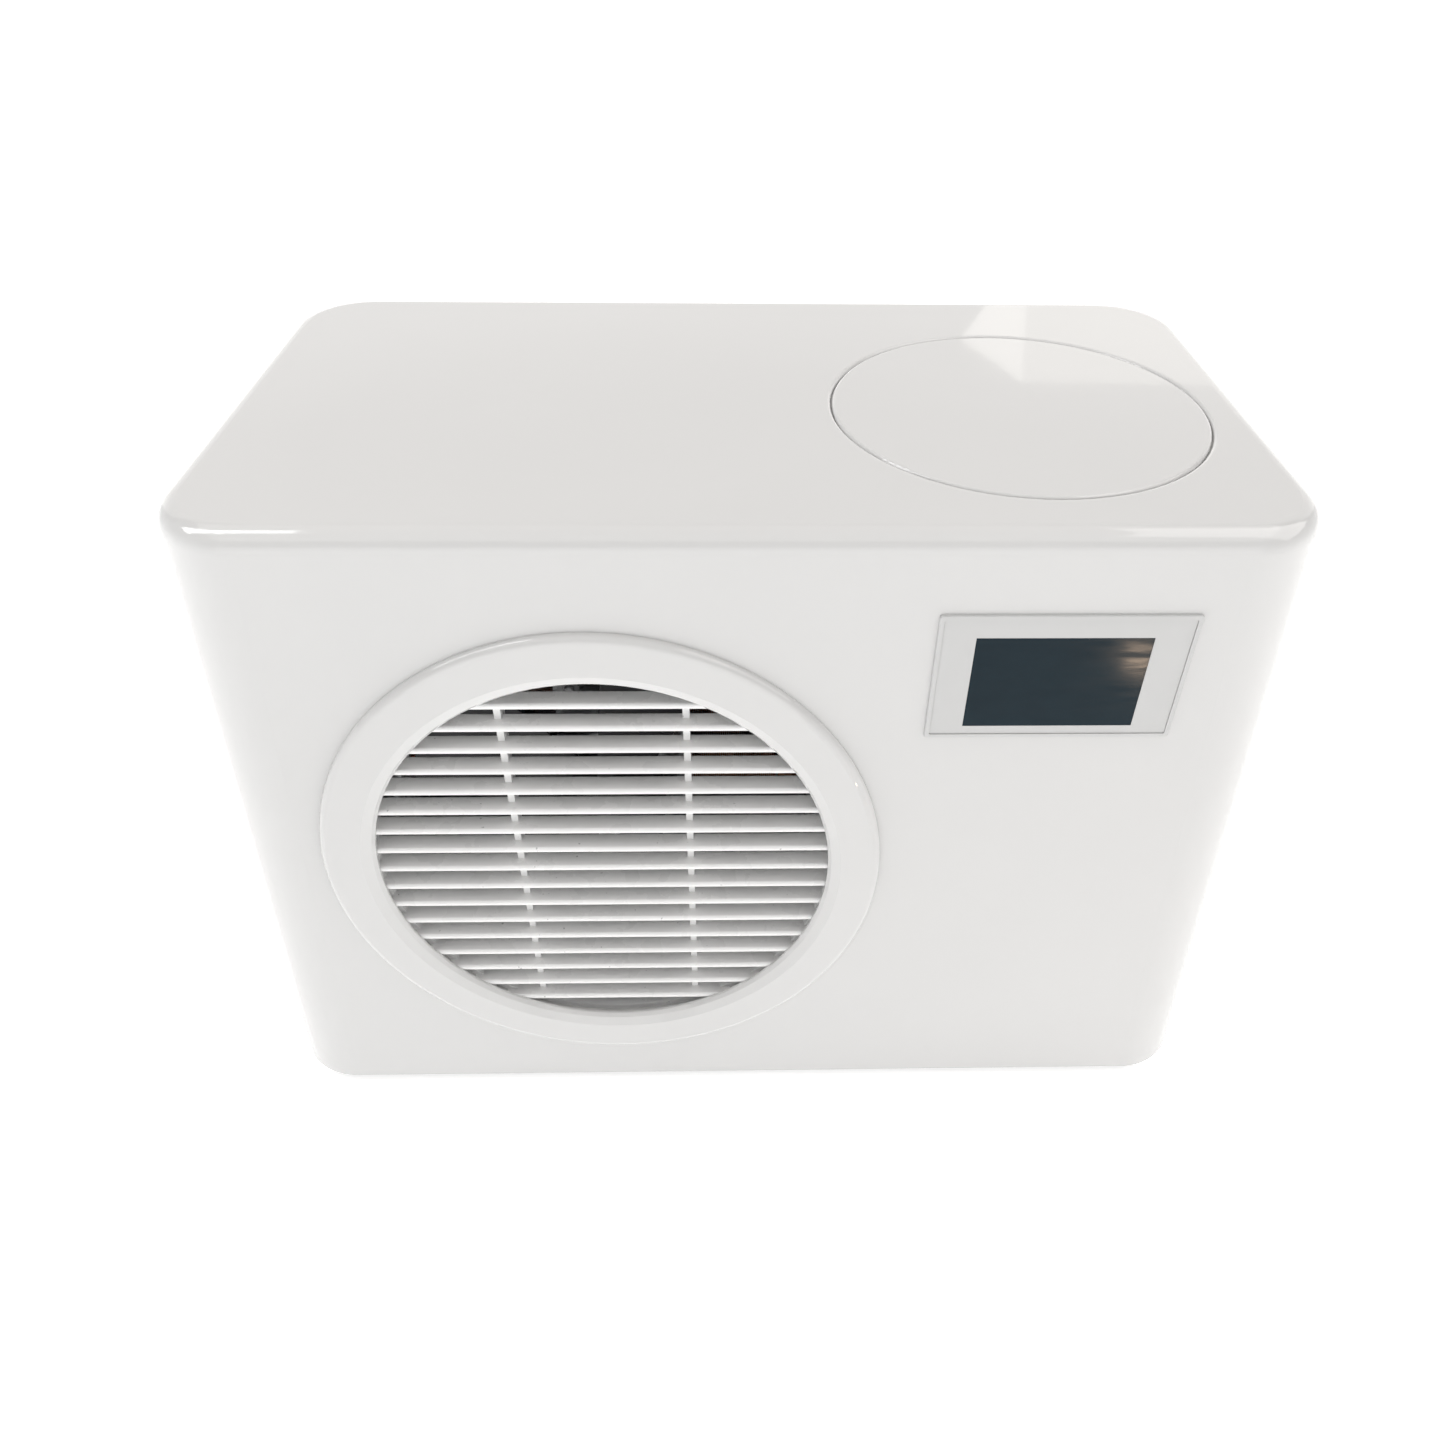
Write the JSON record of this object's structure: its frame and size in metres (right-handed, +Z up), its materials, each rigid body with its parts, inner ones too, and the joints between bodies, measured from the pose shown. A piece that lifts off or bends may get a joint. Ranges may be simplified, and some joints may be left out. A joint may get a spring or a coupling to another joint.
{
  "type": "heat pump unit",
  "caption": "Gloss white plug-in water heat pump and chiller with a round louvred air outlet, a front screen and a round filter lid on top.",
  "frame": {"origin": "centre of the footprint, on the floor under the rubber feet", "axes": "+X to the right as seen from the front, -Y to the front, +Z up"},
  "size_m": [0.7562, 0.4468, 0.5],
  "materials": {
    "shell_white": "high gloss moulded white",
    "grille_white": "satin moulded white",
    "screen_white": "high gloss white cover",
    "screen_glass": "dark polished glass",
    "black_plastic": "fine moulded grain",
    "grey_plastic": "fine moulded grain",
    "white_abs": "fine moulded grain",
    "rubber_black": "matte",
    "galvanised": "galvanised sheet",
    "pan_paint": "powder coat",
    "black_paint": "semi gloss black paint",
    "motor_steel": "satin",
    "copper": "drawn copper tube",
    "brass": "satin brass",
    "titanium": "drawn titanium",
    "fin_aluminium": "thin stamped fins",
    "screw_steel": "zinc plated",
    "circuit_board": "solder mask green",
    "filter_paper": "pleated spun polyester"
  },
  "bodies": {
    "unit": {"casing": "shell_white", "trim_ring": "shell_white", "louvre_grille": "grille_white", "screen_bezel": "screen_white", "screen_panel": "screen_white", "screen_glass": "screen_glass", "lcd_module": "motor_steel", "display_board": "circuit_board", "screen_lead": "black_plastic", "filter_tray": "white_abs", "filter_canister": "white_abs", "filter_cartridge": "filter_paper", "base_pan": "pan_paint", "feet": "rubber_black", "foot_screws": "screw_steel", "drain_spout": "black_plastic", "casing_screws": "screw_steel", "rear_screws": "screw_steel", "rear_panel": "white_abs", "rear_grille": "white_abs", "side_grip_left": "white_abs", "side_grip_right": "white_abs", "water_inlet_port": "grey_plastic", "water_outlet_port": "grey_plastic", "power_inlet": "black_plastic", "power_inlet_pins": "brass", "switch_frame": "black_plastic", "fan_shroud": "galvanised", "fan_motor": "motor_steel", "motor_bracket": "galvanised", "motor_screws": "screw_steel", "bulkhead": "galvanised", "coil_fins": "fin_aluminium", "coil_end_plates": "galvanised", "coil_tubes": "copper", "pump_housing": "black_plastic", "pump_motor": "motor_steel", "heat_exchanger_shell": "white_abs", "titanium_coil": "titanium", "compressor": "black_paint", "compressor_mounts": "rubber_black", "compressor_bolts": "screw_steel", "accumulator": "black_paint", "reversing_valve": "brass", "refrigerant_pipes": "copper", "expansion_valve": "brass", "water_hoses": "rubber_black", "control_box": "galvanised", "control_box_cover": "galvanised", "control_board": "circuit_board", "run_capacitor": "grey_plastic"},
    "fan": {"fan_rotor": "black_plastic", "fan_shaft": "motor_steel", "fan_nut": "screw_steel"},
    "lid": {"filter_lid": "shell_white", "lid_gasket": "rubber_black"},
    "cap": {"filter_cap": "grey_plastic", "cap_seal": "rubber_black"},
    "impeller": {"pump_impeller": "grey_plastic"},
    "rocker": {"switch_rocker": "black_plastic"}
  },
  "joints": [
    {"name": "fan_spin", "type": "hinge", "parent": "unit", "child": "fan", "pos_m": [-0.098, -0.144, 0.245], "axis": [0, 1, 0], "continuous": true},
    {"name": "lid_lift", "type": "slide", "parent": "unit", "child": "lid", "axis": [0, 0, 1], "range_m": [0, 0.12]},
    {"name": "cap_turn", "type": "hinge", "parent": "unit", "child": "cap", "pos_m": [0.1865, -0.019, 0.46], "axis": [0, 0, 1], "range_deg": [0, 60]},
    {"name": "pump_spin", "type": "hinge", "parent": "unit", "child": "impeller", "pos_m": [0.1865, 0, 0.088], "axis": [0, 1, 0], "continuous": true},
    {"name": "switch_tip", "type": "hinge", "parent": "unit", "child": "rocker", "pos_m": [0.19, 0.18171, 0.33384], "axis": [1, 0, 0], "range_deg": [0, 18]}
  ]
}
